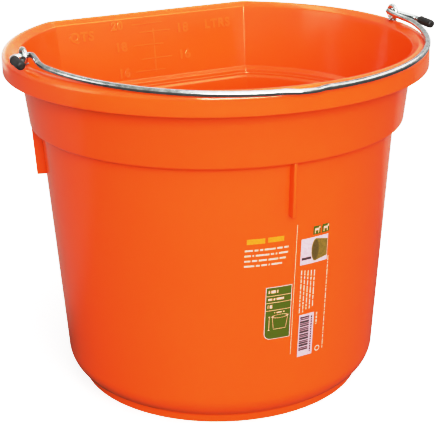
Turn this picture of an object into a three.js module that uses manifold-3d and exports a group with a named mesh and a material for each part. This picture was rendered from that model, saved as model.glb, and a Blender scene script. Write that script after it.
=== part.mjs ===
// A flat-backed feed bucket for a horse: a moulded plastic bucket with a wire bail handle.
// The bucket's plan is a circle cut by a flat back, so that it hangs flat against a stable wall.
// Millimetres, +Z up, the flat back faces +Y and the bail rests forward on the rim.
import * as THREE from "three";
import { mergeVertices } from "three/addons/utils/BufferGeometryUtils.js";
import Module from "manifold-3d";

const wasm = await Module();
wasm.setup();

// ---- Driving dimensions ----

// The bucket. Each radius is reached by stepping in from the one above it.
const HEIGHT = 300;
const RIM_RADIUS = 181.4;
const RIM_OVERHANG = 12.5; // from the rim's edge in to the top of the upper band
const BAND_DEPTH = 62.3; // from the top of the rim to the upper band's lower edge
const BAND_TAPER = 7.1;
const STEP_INSET = 8.4; // from the band's lower edge in to the main wall
const WALL_TAPER = 13.8;
const BASE_CORNER = 23; // rounding where the wall turns into the base
const FOOT_INSET = 12.7; // from the foot of the wall in to the foot ring
const FOOT_HEIGHT = 4.5;
const FOOT_WIDTH = 5;
const WALL = 2.8;
const FLAT_INSET = 31; // how far the flat back cuts into the full circle
const OUTER_CORNER = 14; // plan radius where the round wall turns into the flat back, outside
const INNER_CORNER = 5; // the same inside

// The rim, a channel that is open downwards.
const RIM_WALL = 2.6;
const SKIRT_DEPTH = 19;
const SHOULDER = 6; // rounding of the rim's outer edge
const LIP = 2; // rounding of the rim's inner edge

// The stacking ribs under the band, by compass angle about the bucket's axis.
const RIB_ANGLES = [-94, 163.5, 16.5];
const RIB_LENGTH = 44;
const RIB_THICKNESS = 3;
const RIB_TAPER = 2.5; // how much nearer the wall the foot of a rib is than its top

// The eye bolts, and what holds them in the rim's channel.
const PIVOT_Y = -10; // over the bucket's centre of gravity
const EYE_PLAY = 1; // between the wire and the eye around it
const RING_BAR = 2; // radius of the ring's bar
const SHANK_RADIUS = 2.5;
const SHANK_LENGTH = 17; // below the top of the rim
const COLLAR_RADIUS = 4.4;
const COLLAR_HEIGHT = 1.6;
const PAD_RADIUS = 7; // flat seat for the washer, moulded in the rim's channel
const PAD_BELOW_SHOULDER = 0.3; // its face, below the rounded part of the rim
const WASHER_CLEARANCE = 0.45; // between a washer and the channel's walls
const WASHER_THICKNESS = 1;
const NUT_FLATS = 8;
const NUT_HEIGHT = 4;

// The bail, drawn in its own plane with the pivot line across it.
const WIRE_RADIUS = 2.5;
const FRONT_OVERHANG = 2.1; // the middle of the resting bail, past the edge of the rim
const NECK_INSET = 6.3; // from an eye in to the leg beside it
const NECK_LENGTH = 42; // from the pivot line to where a leg joins the round of the bail
const TIP_LENGTH = 23;
const TIP_OUT = [9.9, 25.5]; // how far past their eyes the left and the right tip stand
const TIP_DROOP = [0.6, 8.2]; // how far each pin drops on its way out through its eye
const BEND = 4.5; // length taken by each bend beside an eye
const NOTCH_HALF_WIDTH = 12; // the hook notch, an outward kink in the middle of the bail
const NOTCH_DEPTH = 3;
const NOTCH_AZIMUTH = -5; // degrees from the middle of the bail

// The caps on the bail's tips.
const CAP_WALL = 1.1;
const CAP_LENGTH = 17.5;
const CAP_START = 8.5; // from the pivot line to the open end of a cap
const CAP_END = 3; // thickness of the closed end

// The printed label on the front, a thin film.
const LABEL_AZIMUTH = -93.5;
const LABEL_WIDTH = 78;
const LABEL_BELOW_RIB = 4.7; // its upper edge, below the front rib
const LABEL_ABOVE_BASE = 28.5; // its lower edge, above the turn of the base
const LABEL_THICKNESS = 0.3;

const GAP = 0.3; // between pieces that touch

// How finely round shapes are cut.
const ROUND_STEPS = 52; // the round of the bucket's plan
const CORNER_STEPS = 3;
const FLAT_STEPS = 2;
const WIRE_SIDES = 8;

// ---- Materials ----

function material(color, roughness, metalness) {
  return new THREE.MeshStandardMaterial({ color, roughness, metalness });
}

const orangePlastic = () => material(0xf26a20, 0.3, 0);
const blackPlastic = () => material(0x231d1c, 0.45, 0);
const zincSteel = () => material(0xb9bec0, 0.25, 1);
const labelFilm = () => material(0xf4ddd0, 0.4, 0);

// ---- Solids ----

// A closed geometry as a manifold solid.
function solidOf(geometry) {
  const bare = geometry.clone();
  bare.deleteAttribute("normal");
  bare.deleteAttribute("uv");
  const merged = mergeVertices(bare, 1e-3);
  return new wasm.Manifold(
    new wasm.Mesh({
      numProp: 3,
      vertProperties: merged.attributes.position.array,
      triVerts: new Uint32Array(merged.index.array),
    }),
  );
}

// A manifold solid as a geometry.
function geometryOf(solid) {
  const mesh = solid.getMesh();
  const geometry = new THREE.BufferGeometry();
  geometry.setAttribute("position", new THREE.BufferAttribute(new Float32Array(mesh.vertProperties), 3));
  geometry.setIndex(new THREE.BufferAttribute(new Uint32Array(mesh.triVerts), 1));
  geometry.computeVertexNormals();
  return geometry;
}

function cylinder(radius, bottom, top, steps) {
  const shape = new THREE.CylinderGeometry(radius, radius, top - bottom, steps);
  return shape.rotateX(Math.PI / 2).translate(0, 0, (bottom + top) / 2);
}

function arcPoints(centreR, centreZ, radius, fromDegrees, toDegrees, steps) {
  const points = [];
  for (let i = 0; i <= steps; i += 1) {
    const angle = THREE.MathUtils.degToRad(fromDegrees + ((toDegrees - fromDegrees) * i) / steps);
    points.push(new THREE.Vector2(centreR + radius * Math.cos(angle), centreZ + radius * Math.sin(angle)));
  }
  return points;
}

const point = (radius, z) => new THREE.Vector2(radius, z);
const degrees = THREE.MathUtils.degToRad;

// ---- The bucket's profile ----

const STEP_HEIGHT = HEIGHT - BAND_DEPTH;
const BAND_TOP_RADIUS = RIM_RADIUS - RIM_OVERHANG;
const BAND_FOOT_RADIUS = BAND_TOP_RADIUS - BAND_TAPER;
const WALL_TOP_RADIUS = BAND_FOOT_RADIUS - STEP_INSET;
const WALL_FOOT_RADIUS = WALL_TOP_RADIUS - WALL_TAPER;
const FOOT_RADIUS = WALL_FOOT_RADIUS - FOOT_INSET;
const BASE_CENTRE_Z = FOOT_HEIGHT + BASE_CORNER; // height where the wall turns into the base
const BASE_CENTRE_R = WALL_FOOT_RADIUS - BASE_CORNER;
const STEP_FALL = 4; // height of the band's sloping underside
const WALL_TOP = STEP_HEIGHT - STEP_FALL;
const LEDGE_FALL = 6.5; // how far the ledge inside reaches below the step outside
const LEDGE_RISE = 9.5; // height of that ledge
const SKIRT_FOOT = HEIGHT - SKIRT_DEPTH;
const SHOULDER_R = RIM_RADIUS - SHOULDER;
const SHOULDER_Z = HEIGHT - SHOULDER;
const CHANNEL_ROUND = SHOULDER - RIM_WALL;
const CHANNEL_WIDTH = RIM_OVERHANG - RIM_WALL;
const PAD_DEPTH = SHOULDER + PAD_BELOW_SHOULDER;
const LIP_R = BAND_TOP_RADIUS - WALL; // inner face of the mouth

// The main wall's outer radius at a height.
function wallRadius(z) {
  const share = (z - BASE_CENTRE_Z) / (WALL_TOP - BASE_CENTRE_Z);
  return WALL_FOOT_RADIUS + share * (WALL_TOP_RADIUS - WALL_FOOT_RADIUS);
}

// The outside, from the axis under the base out and up to the inner edge of the rim.
function outerProfile() {
  const footAngle = -90 + THREE.MathUtils.radToDeg(Math.asin((FOOT_RADIUS - BASE_CENTRE_R) / BASE_CORNER));
  return [
    point(0, FOOT_HEIGHT),
    point(FOOT_RADIUS - FOOT_WIDTH, FOOT_HEIGHT),
    point(FOOT_RADIUS - FOOT_WIDTH, 0),
    point(FOOT_RADIUS, 0),
    ...arcPoints(BASE_CENTRE_R, BASE_CENTRE_Z, BASE_CORNER, footAngle, 0, 4),
    point(WALL_TOP_RADIUS, WALL_TOP),
    point(BAND_FOOT_RADIUS - 2.5, STEP_HEIGHT - 2.6),
    point(BAND_FOOT_RADIUS - 0.7, STEP_HEIGHT - 1.8),
    point(BAND_FOOT_RADIUS, STEP_HEIGHT),
    point(BAND_TOP_RADIUS, HEIGHT - RIM_WALL),
    ...arcPoints(SHOULDER_R, SHOULDER_Z, CHANNEL_ROUND, 90, 0, 2),
    point(RIM_RADIUS - RIM_WALL, SKIRT_FOOT),
    point(RIM_RADIUS, SKIRT_FOOT),
    ...arcPoints(SHOULDER_R, SHOULDER_Z, SHOULDER, 0, 90, 4),
    ...arcPoints(LIP_R + LIP, HEIGHT - LIP, LIP, 90, 180, 2),
  ];
}

// The inside, from below the inner edge of the rim down and in to the axis.
function innerProfile() {
  const ledgeFoot = WALL_TOP - LEDGE_FALL;
  return [
    point(BAND_FOOT_RADIUS - WALL + 0.2, ledgeFoot + LEDGE_RISE + 3),
    point(BAND_FOOT_RADIUS - WALL - 1.5, ledgeFoot + LEDGE_RISE),
    point(WALL_TOP_RADIUS - WALL + 0.8, ledgeFoot + 4),
    point(WALL_TOP_RADIUS - WALL - 0.3, ledgeFoot),
    ...arcPoints(BASE_CENTRE_R, BASE_CENTRE_Z, BASE_CORNER - WALL, 0, -90, 4),
    point(0, FOOT_HEIGHT + WALL),
  ];
}

// ---- The bucket's plan ----

const PLAN_STEPS = FLAT_STEPS + 2 * CORNER_STEPS + ROUND_STEPS;

// A point of the D-shaped plan: round the front from the right corner to the left one, then
// along the flat back. The index runs over the steps of all its stretches.
function planPoint(index, radius, inset, corner) {
  const flat = radius - inset;
  const rounding = Math.min(corner, inset * 0.9);
  const centreY = flat - rounding;
  const centreX = Math.sqrt((radius - rounding) ** 2 - centreY ** 2);
  const turn = Math.atan2(centreY, centreX); // where the round meets the corner, from +X
  const half = FLAT_STEPS / 2;
  if (index <= half) return [-(centreX * index) / half, flat];
  const afterFlat = index - half;
  if (afterFlat <= CORNER_STEPS) {
    const angle = Math.PI / 2 + ((Math.PI / 2 - turn) * afterFlat) / CORNER_STEPS;
    return [-centreX + rounding * Math.cos(angle), centreY + rounding * Math.sin(angle)];
  }
  const afterCorner = afterFlat - CORNER_STEPS;
  if (afterCorner <= ROUND_STEPS) {
    const angle = Math.PI - turn + ((Math.PI + 2 * turn) * afterCorner) / ROUND_STEPS;
    return [radius * Math.cos(angle), radius * Math.sin(angle)];
  }
  const [x, y] = planPoint(PLAN_STEPS - index, radius, inset, corner);
  return [-x, y];
}

// A turned shape whose every ring is cut by the flat back.
function flatBackedLathe(profile, cornerAt) {
  const turned = new THREE.LatheGeometry(profile, PLAN_STEPS);
  const positions = turned.attributes.position;
  const fullInset = FOOT_RADIUS - FOOT_WIDTH;
  for (let i = 0; i < positions.count; i += 1) {
    const ring = profile[i % profile.length];
    const step = Math.floor(i / profile.length) % PLAN_STEPS;
    const inset = FLAT_INSET * Math.min(1, ring.x / fullInset);
    const [x, y] = ring.x === 0 ? [0, 0] : planPoint(step, ring.x, inset, cornerAt(i % profile.length));
    positions.setXYZ(i, x, y, ring.y);
  }
  return turned;
}

function bucketShell() {
  const outer = outerProfile();
  const profile = [...outer, ...innerProfile()];
  const cornerAt = (i) => (i < outer.length ? OUTER_CORNER : INNER_CORNER);
  let shell = solidOf(flatBackedLathe(profile, cornerAt));
  for (const angle of RIB_ANGLES) {
    shell = shell.add(solidOf(stackingRib(angle)));
  }
  for (const side of [-1, 1]) {
    const pad = cylinder(PAD_RADIUS, HEIGHT - PAD_DEPTH, HEIGHT - RIM_WALL / 2, 20);
    const hole = cylinder(SHANK_RADIUS + GAP, HEIGHT - 2 * PAD_DEPTH, HEIGHT + PAD_DEPTH, 16);
    shell = shell.add(solidOf(pad.translate(side * EYE_X, PIVOT_Y, 0)));
    shell = shell.subtract(solidOf(hole.translate(side * EYE_X, PIVOT_Y, 0)));
  }
  return geometryOf(shell);
}

const RIB_FOOT = WALL_TOP - RIB_LENGTH;

// A thin upright fin from the main wall out to the line of the band. Its top runs into the
// band's underside and stays outside the soft ledge within.
function stackingRib(angle) {
  const top = WALL_TOP + 1.8;
  const shoulder = WALL_TOP - LEDGE_FALL;
  const outline = new THREE.Shape([
    point(wallRadius(RIB_FOOT) - WALL / 2, RIB_FOOT),
    point(BAND_FOOT_RADIUS - 1 - RIB_TAPER, RIB_FOOT),
    point(BAND_FOOT_RADIUS - 1, top),
    point(WALL_TOP_RADIUS + 1, WALL_TOP + 0.6),
    point(wallRadius(shoulder) - WALL / 2, shoulder),
  ]);
  const fin = new THREE.ExtrudeGeometry(outline, { depth: RIB_THICKNESS, bevelEnabled: false });
  fin.translate(0, 0, -RIB_THICKNESS / 2).rotateX(Math.PI / 2);
  return fin.rotateZ(degrees(angle));
}

// ---- The eye bolts ----

const CHANNEL_MIDDLE = BAND_TOP_RADIUS + CHANNEL_WIDTH / 2;
const EYE_X = Math.sqrt(CHANNEL_MIDDLE ** 2 - PIVOT_Y ** 2);
const EYE_RADIUS = WIRE_RADIUS + EYE_PLAY;
const RING_RADIUS = EYE_RADIUS + RING_BAR; // centre line of the ring's bar
const PIVOT_Z = HEIGHT + RING_RADIUS + RING_BAR; // the ring stands on the rim

function eyeBolt() {
  const ring = new THREE.TorusGeometry(RING_RADIUS, RING_BAR, 8, 20);
  ring.rotateY(Math.PI / 2).translate(0, 0, PIVOT_Z);
  const shank = cylinder(SHANK_RADIUS, HEIGHT - SHANK_LENGTH, HEIGHT + COLLAR_HEIGHT, 16);
  const collar = cylinder(COLLAR_RADIUS, HEIGHT + GAP, HEIGHT + COLLAR_HEIGHT, 20);
  const hole = cylinder(EYE_RADIUS, -PAD_RADIUS, PAD_RADIUS, 20);
  hole.rotateY(Math.PI / 2).translate(0, 0, PIVOT_Z);
  const body = solidOf(ring).add(solidOf(shank)).add(solidOf(collar));
  return geometryOf(body.subtract(solidOf(hole)));
}

const WASHER_RADIUS = CHANNEL_WIDTH / 2 - WASHER_CLEARANCE;
const WASHER_TOP = HEIGHT - PAD_DEPTH - GAP;
const NUT_TOP = WASHER_TOP - WASHER_THICKNESS - GAP;

function washer() {
  const disc = cylinder(WASHER_RADIUS, WASHER_TOP - WASHER_THICKNESS, WASHER_TOP, 20);
  const hole = cylinder(SHANK_RADIUS + GAP, WASHER_TOP - 2 * WASHER_THICKNESS, HEIGHT, 16);
  return geometryOf(solidOf(disc).subtract(solidOf(hole)));
}

function nut() {
  const acrossCorners = NUT_FLATS / Math.cos(Math.PI / 6);
  const prism = cylinder(acrossCorners / 2, NUT_TOP - NUT_HEIGHT, NUT_TOP, 6);
  const bore = cylinder(SHANK_RADIUS + GAP, NUT_TOP - 2 * NUT_HEIGHT, HEIGHT, 16);
  return geometryOf(solidOf(prism).subtract(solidOf(bore)));
}

// ---- The bail ----

const BAIL_REACH = RIM_RADIUS + PIVOT_Y + FRONT_OVERHANG; // from the pivot line to the middle
const CAP_BORE = WIRE_RADIUS + GAP;
const CAP_RADIUS = CAP_BORE + CAP_WALL;
const NECK_X = EYE_X - NECK_INSET;

// Where the tip of a leg stands, across and above the bail's plane.
function tipPlace(side) {
  const out = side < 0 ? TIP_OUT[0] : TIP_OUT[1];
  const droop = side < 0 ? TIP_DROOP[0] : TIP_DROOP[1];
  return { x: EYE_X + out, z: -droop, pinSlope: droop / out };
}

// The bail's plane: x across, y away from the pivot line towards the front, z square to both.
// These are the corners of one leg, from the tip to the round of the bail.
function legPoints(side) {
  const tip = tipPlace(side);
  const neckRise = tip.pinSlope * NECK_INSET;
  const corner = new THREE.Vector3(tip.x, 0, tip.z);
  const neck = new THREE.Vector3(NECK_X, 0, neckRise);
  const along = corner.clone().sub(neck).normalize().multiplyScalar(BEND);
  return [
    new THREE.Vector3(tip.x, TIP_LENGTH, tip.z),
    new THREE.Vector3(tip.x, BEND, tip.z),
    corner,
    corner.clone().sub(along),
    neck.clone().add(along),
    neck,
    new THREE.Vector3(NECK_X, BEND, neckRise),
    new THREE.Vector3(NECK_X + 1, NECK_LENGTH / 2, 0),
    new THREE.Vector3(roundX(NECK_LENGTH), NECK_LENGTH, 0),
  ].map((p) => new THREE.Vector3(side * p.x, p.y, p.z));
}

function roundX(y) {
  return Math.sqrt(BAIL_REACH ** 2 - y ** 2);
}

// The round of the bail, with its hook notch, from the right leg to the left one.
class BailRound extends THREE.Curve {
  getPoint(t) {
    const start = Math.asin(NECK_LENGTH / BAIL_REACH);
    const angle = start + t * (Math.PI - 2 * start);
    const across = BAIL_REACH * (angle - Math.PI / 2 + degrees(NOTCH_AZIMUTH));
    const notch = NOTCH_DEPTH * Math.exp(-((across / NOTCH_HALF_WIDTH) ** 4));
    const reach = BAIL_REACH + notch;
    return new THREE.Vector3(reach * Math.cos(angle), reach * Math.sin(angle), 0);
  }
}

// A leg as a path of straights and bends.
function legPath(side) {
  const [tip, a, corner, b, c, neck, d, e, end] = legPoints(side);
  const path = new THREE.CurvePath();
  path.add(new THREE.LineCurve3(tip, a));
  path.add(new THREE.QuadraticBezierCurve3(a, corner, b));
  path.add(new THREE.LineCurve3(b, c));
  path.add(new THREE.QuadraticBezierCurve3(c, neck, d));
  const slope = new THREE.Vector3(side * NECK_LENGTH, -roundX(NECK_LENGTH), 0).normalize();
  path.add(new THREE.CubicBezierCurve3(d, e, end.clone().addScaledVector(slope, NECK_LENGTH / 3), end));
  return path;
}

// The points of one leg, with more of them in the bends than in the straights.
function legLine(side) {
  const stepsOfEach = [1, 4, 2, 4, 4];
  const points = [];
  legPath(side).curves.forEach((curve, k) => {
    points.push(...curve.getPoints(stepsOfEach[k]).slice(k ? 1 : 0));
  });
  return points;
}

// The whole wire as one smooth line: right leg, round, left leg.
function bailLine() {
  const round = new BailRound().getPoints(ROUND_STEPS - 12).slice(1, -1);
  return [...legLine(1), ...round, ...legLine(-1).reverse()];
}

// A line of straight stretches as a curve that an extrusion follows, station by station.
class Polyline extends THREE.Curve {
  constructor(points) {
    super();
    this.points = points;
  }
  getPoint(t) {
    const place = Math.min(t, 1) * (this.points.length - 1);
    const index = Math.min(Math.floor(place), this.points.length - 2);
    return this.points[index].clone().lerp(this.points[index + 1], place - index);
  }
  getPointAt(t) {
    return this.getPoint(t);
  }
  getTangent(t) {
    const place = Math.round(t * (this.points.length - 1));
    const before = this.points[Math.max(place - 1, 0)];
    const after = this.points[Math.min(place + 1, this.points.length - 1)];
    return after.clone().sub(before).normalize();
  }
  getTangentAt(t) {
    return this.getTangent(t);
  }
}

function bailWire() {
  const line = bailLine().map((p) => new THREE.Vector3(p.x, -p.y, p.z));
  const section = new THREE.Shape();
  section.absellipse(0, 0, WIRE_RADIUS, WIRE_RADIUS, 0, 2 * Math.PI, false, Math.PI / WIRE_SIDES);
  return new THREE.ExtrudeGeometry(section, {
    steps: line.length - 1,
    curveSegments: WIRE_SIDES,
    extrudePath: new Polyline(line),
  });
}

// A moulded cap pushed over a tip of the wire.
function endCap() {
  const round = 1.8;
  const chamfer = 0.4;
  const profile = [
    point(0, CAP_LENGTH - CAP_END),
    point(CAP_BORE, CAP_LENGTH - CAP_END),
    point(CAP_BORE, 0),
    point(CAP_RADIUS - chamfer, 0),
    point(CAP_RADIUS, chamfer),
    ...arcPoints(CAP_RADIUS - round, CAP_LENGTH - round, round, 0, 90, 3),
    point(0, CAP_LENGTH),
  ];
  return new THREE.LatheGeometry(profile, 20).rotateX(Math.PI).translate(0, -CAP_START, 0);
}

// The steepest slope at which the whole resting bail clears the rim's rounded shoulder.
function restSlope() {
  const clear = SHOULDER + WIRE_RADIUS + GAP;
  let slope = Math.PI / 2;
  for (let turn = 10; turn <= 90; turn += 5) {
    const forward = BAIL_REACH * Math.sin(degrees(turn));
    const radius = Math.hypot(BAIL_REACH * Math.cos(degrees(turn)), forward - PIVOT_Y);
    const outside = Math.min(Math.max(radius - SHOULDER_R, 0), clear);
    const lowest = SHOULDER_Z + Math.sqrt(clear ** 2 - outside ** 2);
    slope = Math.min(slope, Math.asin((PIVOT_Z - lowest) / forward));
  }
  return slope;
}

// ---- The label ----

// A thin film that follows the main wall, clear of it by the usual gap.
function labelFilmShape() {
  const labelLow = BASE_CENTRE_Z + LABEL_ABOVE_BASE;
  const labelHigh = RIB_FOOT - LABEL_BELOW_RIB;
  const low = labelLow - GAP;
  const high = labelHigh + GAP;
  const inner = (z) => point(wallRadius(z) + GAP, z);
  const outer = (z) => point(wallRadius(z) + GAP + LABEL_THICKNESS, z);
  const profile = [inner(low), outer(low), outer(high), inner(high), inner(low)];
  const sleeve = new THREE.LatheGeometry(profile, 2 * ROUND_STEPS).rotateX(Math.PI / 2);
  const window = new THREE.BoxGeometry(LABEL_WIDTH, BAIL_REACH, labelHigh - labelLow);
  window.translate(0, -wallRadius(high), (labelLow + labelHigh) / 2);
  const patch = solidOf(sleeve).intersect(solidOf(window));
  return geometryOf(patch).rotateZ(degrees(LABEL_AZIMUTH + 90));
}

// ---- Assembly ----

function mesh(name, geometry, finish) {
  const piece = new THREE.Mesh(geometry, finish);
  piece.name = name;
  return piece;
}

const bucket = new THREE.Group();
bucket.add(mesh("bucket_shell", bucketShell(), orangePlastic()));
bucket.add(mesh("front_label", labelFilmShape(), labelFilm()));

for (const [side, word] of [[-1, "left"], [1, "right"]]) {
  const fixing = new THREE.Group();
  fixing.add(mesh(`${word}_eye_bolt`, eyeBolt(), zincSteel()));
  fixing.add(mesh(`${word}_washer`, washer(), zincSteel()));
  fixing.add(mesh(`${word}_nut`, nut(), zincSteel()));
  fixing.position.set(side * EYE_X, PIVOT_Y, 0);
  bucket.add(fixing);
}

const bail = new THREE.Group();
bail.add(mesh("bail_wire", bailWire(), zincSteel()));
for (const [side, word] of [[-1, "left"], [1, "right"]]) {
  const cap = mesh(`${word}_end_cap`, endCap(), blackPlastic());
  const tip = tipPlace(side);
  cap.position.set(side * tip.x, 0, tip.z);
  bail.add(cap);
}
bail.position.set(0, PIVOT_Y, PIVOT_Z);
bail.rotation.x = restSlope();
bucket.add(bail);

// The origin is under the middle of the whole object, at the foot.
const middle = new THREE.Box3().setFromObject(bucket, true).getCenter(new THREE.Vector3());
const part = new THREE.Group();
bucket.position.set(-middle.x, -middle.y, 0);
part.add(bucket);

export default part;
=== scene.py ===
import math

import bpy
from mathutils import Matrix, Vector


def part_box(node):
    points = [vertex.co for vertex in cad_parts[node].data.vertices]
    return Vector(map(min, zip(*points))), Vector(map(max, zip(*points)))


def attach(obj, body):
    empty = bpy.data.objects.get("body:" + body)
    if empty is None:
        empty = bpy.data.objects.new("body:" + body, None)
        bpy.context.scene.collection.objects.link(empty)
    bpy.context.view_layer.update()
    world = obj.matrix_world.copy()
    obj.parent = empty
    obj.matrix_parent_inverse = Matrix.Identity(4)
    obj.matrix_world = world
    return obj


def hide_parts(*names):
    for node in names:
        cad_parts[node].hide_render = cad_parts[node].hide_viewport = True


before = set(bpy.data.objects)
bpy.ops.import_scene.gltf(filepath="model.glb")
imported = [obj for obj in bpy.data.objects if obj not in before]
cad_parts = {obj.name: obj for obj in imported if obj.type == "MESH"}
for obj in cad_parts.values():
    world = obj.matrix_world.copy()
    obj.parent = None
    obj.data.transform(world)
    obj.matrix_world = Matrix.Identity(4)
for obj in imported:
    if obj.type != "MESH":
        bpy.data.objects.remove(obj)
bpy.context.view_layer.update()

# ---- Camera ----
# A long lens a little over a metre away, to the left of the front and looking down into the mouth.
shell_low, shell_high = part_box("bucket_shell")
rim_radius = 0.1814
axis_x = (shell_low.x + shell_high.x) / 2
axis_y = shell_low.y + rim_radius

camera_azimuth = math.radians(-25.895)
camera_elevation = math.radians(20.205)
camera_roll = math.radians(-0.963)
camera_distance = 1.1095
camera_target = Vector((axis_x - 0.0009, axis_y - 0.0004, 0.1429))

facing = (
    Matrix.Rotation(camera_azimuth, 3, "Z")
    @ Matrix.Rotation(math.radians(90) - camera_elevation, 3, "X")
    @ Matrix.Rotation(camera_roll, 3, "Z")
)
camera_data = bpy.data.cameras.new("camera")
camera_data.lens = 102.15
camera_data.sensor_width = 36
camera = bpy.data.objects.new("camera", camera_data)
camera.location = camera_target + facing @ Vector((0, 0, camera_distance))
camera.rotation_euler = facing.to_euler()
bpy.context.scene.collection.objects.link(camera)
bpy.context.scene.camera = camera

# ---- Floor and light ----
# A white sweep of paper under a wide overhead light, with a large key light a little left of the
# front, soft fill from both sides and smaller boxes above and behind. Only the camera sees the
# paper white: to all other rays it is dark, and grey behind the bucket, as if flagged off.
view = bpy.context.scene.view_settings
view.view_transform = "Standard"
view.use_curve_mapping = True
film_response = view.curve_mapping.curves[3]
for light_in, light_out in ((0.15, 0.15), (0.3, 0.5), (0.5, 0.79), (0.75, 0.87)):
    film_response.points.new(light_in, light_out)
film_response.points[-1].location = (1, 0.925)
view.curve_mapping.update()

world = bpy.data.worlds.new("studio")
world.use_nodes = True
world.node_tree.nodes["Background"].inputs["Color"].default_value = (1, 1, 1, 1)
world.node_tree.nodes["Background"].inputs["Strength"].default_value = 0.5
bpy.context.scene.world = world

bpy.ops.object.select_all(action="DESELECT")
bpy.ops.mesh.primitive_plane_add(size=12, location=(0, 0, 0))
floor = bpy.context.object
floor.name = "floor"
floor_paper = bpy.data.materials.new("floor_paper")
floor_paper.use_nodes = True
nodes, links = floor_paper.node_tree.nodes, floor_paper.node_tree.links
seen_paper = nodes["Principled BSDF"]
seen_paper.inputs["Base Color"].default_value = (0.95, 0.95, 0.95, 1)
seen_paper.inputs["Roughness"].default_value = 0.95
seen_paper.inputs["Emission Color"].default_value = (1, 1, 1, 1)
seen_paper.inputs["Emission Strength"].default_value = 0.6
flagged_paper = nodes.new("ShaderNodeBsdfDiffuse")
floor_place = nodes.new("ShaderNodeTexCoord")
floor_axes = nodes.new("ShaderNodeSeparateXYZ")
links.new(floor_place.outputs["Object"], floor_axes.inputs["Vector"])
flag_edge = nodes.new("ShaderNodeMapRange")
flag_edge.inputs["From Min"].default_value = 0.12
flag_edge.inputs["From Max"].default_value = 0.2
flag_edge.inputs["To Min"].default_value = 0.1
flag_edge.inputs["To Max"].default_value = 0.26
links.new(floor_axes.outputs["Y"], flag_edge.inputs["Value"])
links.new(flag_edge.outputs["Result"], flagged_paper.inputs["Color"])
ray = nodes.new("ShaderNodeLightPath")
paper_mix = nodes.new("ShaderNodeMixShader")
links.new(ray.outputs["Is Camera Ray"], paper_mix.inputs["Fac"])
links.new(flagged_paper.outputs["BSDF"], paper_mix.inputs[1])
links.new(seen_paper.outputs["BSDF"], paper_mix.inputs[2])
links.new(paper_mix.outputs["Shader"], nodes["Material Output"].inputs["Surface"])
floor.data.materials.append(floor_paper)

lamp_aim_height = 0.16


def soft_box(name, azimuth, elevation, distance, width, height, watts):
    """An area light that faces the middle of the bucket."""
    light = bpy.data.lights.new(name, "AREA")
    light.shape = "RECTANGLE"
    light.size = width
    light.size_y = height
    light.energy = watts
    lamp = bpy.data.objects.new(name, light)
    swing = Matrix.Rotation(math.radians(azimuth), 3, "Z")
    turn = swing @ Matrix.Rotation(math.radians(90 - elevation), 3, "X")
    lamp.location = Vector((axis_x, axis_y, lamp_aim_height)) + turn @ Vector((0, 0, distance))
    lamp.rotation_euler = turn.to_euler()
    lamp.visible_camera = False
    bpy.context.scene.collection.objects.link(lamp)


sun = bpy.data.lights.new("overhead", "SUN")
sun.energy = 0.9
sun.angle = math.radians(50)
overhead = bpy.data.objects.new("overhead", sun)
overhead.rotation_euler = (math.radians(20), 0, math.radians(30))
bpy.context.scene.collection.objects.link(overhead)
soft_box("key_soft_box", -14, 24, 2.0, 1.3, 0.9, 41)
soft_box("right_soft_box", 78, 36, 2.0, 2.4, 0.6, 8)
soft_box("back_soft_box", 165, 58, 1.8, 1.4, 0.3, 2)
soft_box("left_strip", -172, 6, 1.0, 0.5, 0.4, 0.25)
soft_box("left_fill", -100, 15, 2.0, 1.0, 1.0, 4)
soft_box("top_strip", -10, 68, 2.0, 1.2, 0.12, 3)
soft_box("right_strip", 128, 4, 1.0, 0.3, 0.3, 0.06)


# ---- Bucket ----
# One injection moulding in high density polyethylene: wall, stepped band, rolled-over rim, foot
# ring and stacking ribs together. The back is pressed flat, so it hangs close to a wall.
def arc(centre, radius, from_degrees, to_degrees, steps):
    """Points round an arc, ends included, as (radius, height)."""
    points = []
    for i in range(steps + 1):
        angle = math.radians(from_degrees + (to_degrees - from_degrees) * i / steps)
        points.append((centre[0] + radius * math.cos(angle), centre[1] + radius * math.sin(angle)))
    return points


def rounded(corners, steps=4):
    """An outline through corners given as (radius, height, rounding), each rounded off."""
    outline = []
    for i, (r, z, rounding) in enumerate(corners):
        here = Vector((r, z))
        if rounding == 0 or i in (0, len(corners) - 1):
            outline.append((r, z))
            continue
        before = (Vector(corners[i - 1][:2]) - here).normalized()
        after = (Vector(corners[i + 1][:2]) - here).normalized()
        half = before.angle(after) / 2
        centre = here + (before + after).normalized() * rounding / math.sin(half)
        reach = rounding / math.tan(half)
        first = here + before * reach - centre
        last = here + after * reach - centre
        for k in range(steps + 1):
            outward = first.normalized().slerp(last.normalized(), k / steps)
            outline.append(tuple(centre + outward * rounding))
    return outline


height = shell_high.z
wall = 0.0028
rim_wall = 0.0026
flat_inset = 0.031
skirt_foot = height - 0.019
band_top = rim_radius - 0.0125
band_foot = band_top - 0.0071
step_height = height - 0.0623
wall_top = band_foot - 0.0084
wall_top_height = step_height - 0.004
wall_foot = wall_top - 0.0138
base_corner = 0.023
foot_height = 0.0045
foot_radius = wall_foot - 0.0127
foot_inner = foot_radius - 0.005
base_centre = (wall_foot - base_corner, foot_height + base_corner)
base_start = -90 + math.degrees(math.asin((foot_radius - base_centre[0]) / base_corner))
mouth = band_top - wall

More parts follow.
